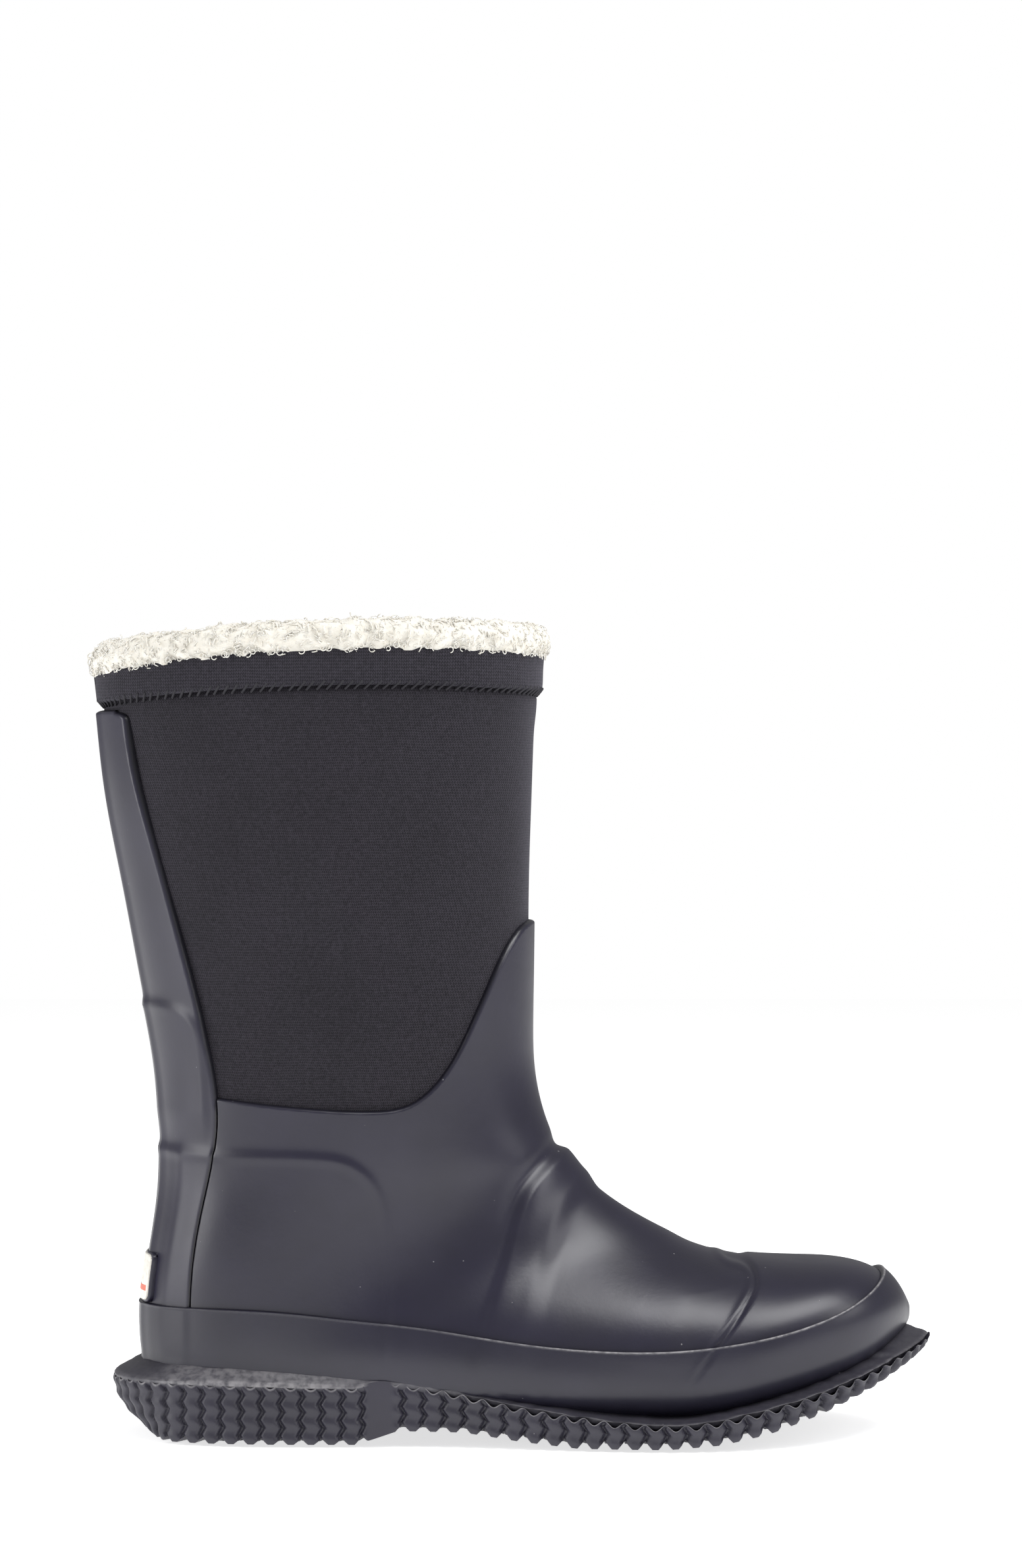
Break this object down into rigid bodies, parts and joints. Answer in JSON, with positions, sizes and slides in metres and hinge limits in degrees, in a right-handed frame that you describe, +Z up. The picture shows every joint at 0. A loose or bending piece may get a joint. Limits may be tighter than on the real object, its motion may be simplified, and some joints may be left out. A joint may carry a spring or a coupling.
{
  "type": "short winter rubber boot",
  "caption": "Short pull-on winter rubber boot, right foot: rubber galosh with knobbly outsole, knit-faced neoprene leg and a curly pile lining rolled over the top edge.",
  "frame": {"origin": "middle of the boot's box, on the ground under the heel's tread", "axes": "+X points to the toe, +Y to the inner side of the foot, +Z up"},
  "size_m": [0.2882, 0.1096, 0.2768],
  "materials": {
    "galosh_rubber": "satin navy-black moulded rubber",
    "strap_rubber": "satin rubber, a shade lighter",
    "reinforcement": "matt rubberised fabric",
    "foxing_rubber": "satin rubber band",
    "outsole_rubber": "matt moulded rubber",
    "shank_steel": "plain steel",
    "board": "fibreboard",
    "neoprene": "knit-faced neoprene",
    "pile": "curly cream pile",
    "footbed_foam": "foam",
    "cuff_knit": "knit binding",
    "thread": "dark thread",
    "seam_tape": "ribbed tape",
    "label_base": "ivory rubber",
    "label_face": "ivory and coral rubber"
  },
  "bodies": {
    "root": {"outsole": "outsole_rubber", "shank": "shank_steel", "insole_board": "board", "footbed_foam": "footbed_foam", "footbed_pile": "pile", "foxing_band": "foxing_rubber", "galosh": "galosh_rubber", "toe_cap": "reinforcement", "instep_band": "reinforcement", "heel_counter": "reinforcement", "achilles_patch": "reinforcement", "back_strap": "strap_rubber", "back_seam_tape": "seam_tape", "neoprene_leg": "neoprene", "neoprene_foot": "neoprene", "leg_lining": "pile", "foot_lining": "pile", "cuff_band": "cuff_knit", "cuff_stitching": "thread", "cuff_seam_tape": "seam_tape", "heel_label_base": "label_base", "heel_label_face": "label_face"}
  },
  "joints": []
}
